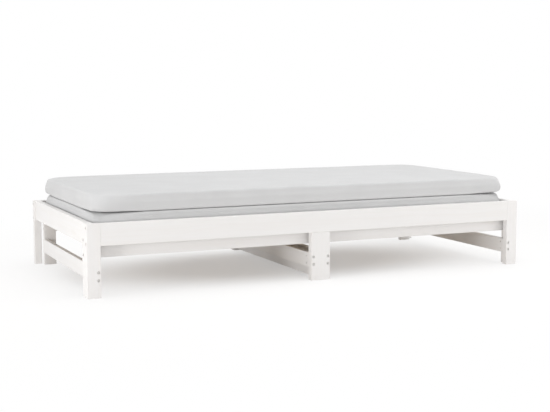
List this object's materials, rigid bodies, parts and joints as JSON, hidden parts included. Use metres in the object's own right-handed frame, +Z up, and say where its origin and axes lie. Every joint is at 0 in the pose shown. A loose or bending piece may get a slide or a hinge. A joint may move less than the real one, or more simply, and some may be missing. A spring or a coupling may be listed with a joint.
{
  "type": "pull-out bed",
  "caption": "Low painted-wood day bed with stacked mattresses; a front frame on its own legs draws out, its slats meshing with those of the fixed frame.",
  "frame": {"origin": "middle of the bed's floor area, closed", "axes": "+X along the bed, to the right as seen from the front; the front faces -Y; +Z up"},
  "size_m": [2.07, 0.965, 0.416],
  "materials": {
    "painted_wood": "white satin paint",
    "slat_wood": "bare pine",
    "dowel_wood": "bare beech",
    "fastener_steel": "zinc",
    "mattress_fabric": "pale grey cover"
  },
  "bodies": {
    "fixed_frame": {"back_rail": "painted_wood", "back_post_left": "painted_wood", "back_post_right": "painted_wood", "back_post_middle": "painted_wood", "front_post_left": "painted_wood", "front_post_right": "painted_wood", "front_post_middle": "painted_wood", "end_rail_left": "painted_wood", "end_rail_right": "painted_wood", "front_beam": "painted_wood", "guide_board": "painted_wood", "back_slat_ledge": "painted_wood", "fixed_slats": "slat_wood", "post_side_bolts": "fastener_steel", "post_face_bolts": "fastener_steel", "fixed_barrel_nuts": "fastener_steel", "fixed_dowels": "dowel_wood", "lower_mattress": "mattress_fabric"},
    "pull_out_frame": {"front_rail": "painted_wood", "front_leg_left": "painted_wood", "front_leg_middle": "painted_wood", "front_leg_right": "painted_wood", "rear_leg_left": "painted_wood", "rear_leg_right": "painted_wood", "rear_leg_middle_left": "painted_wood", "rear_leg_middle_right": "painted_wood", "stretcher_left": "painted_wood", "stretcher_middle_left": "painted_wood", "stretcher_middle_right": "painted_wood", "stretcher_right": "painted_wood", "rear_beam": "painted_wood", "front_slat_ledge": "painted_wood", "pull_out_slats": "slat_wood", "leg_side_bolts": "fastener_steel", "stretcher_bolts": "fastener_steel", "pull_out_barrel_nuts": "fastener_steel", "pull_out_dowels": "dowel_wood"},
    "upper_mattress": {"upper_mattress": "mattress_fabric"}
  },
  "joints": [
    {"name": "draw_out", "type": "slide", "parent": "fixed_frame", "child": "pull_out_frame", "axis": [0, -1, 0], "range_m": [0, 0.825]},
    {"name": "lift_off", "type": "slide", "parent": "fixed_frame", "child": "upper_mattress", "axis": [0, 0, 1], "range_m": [0, 0.3]}
  ]
}
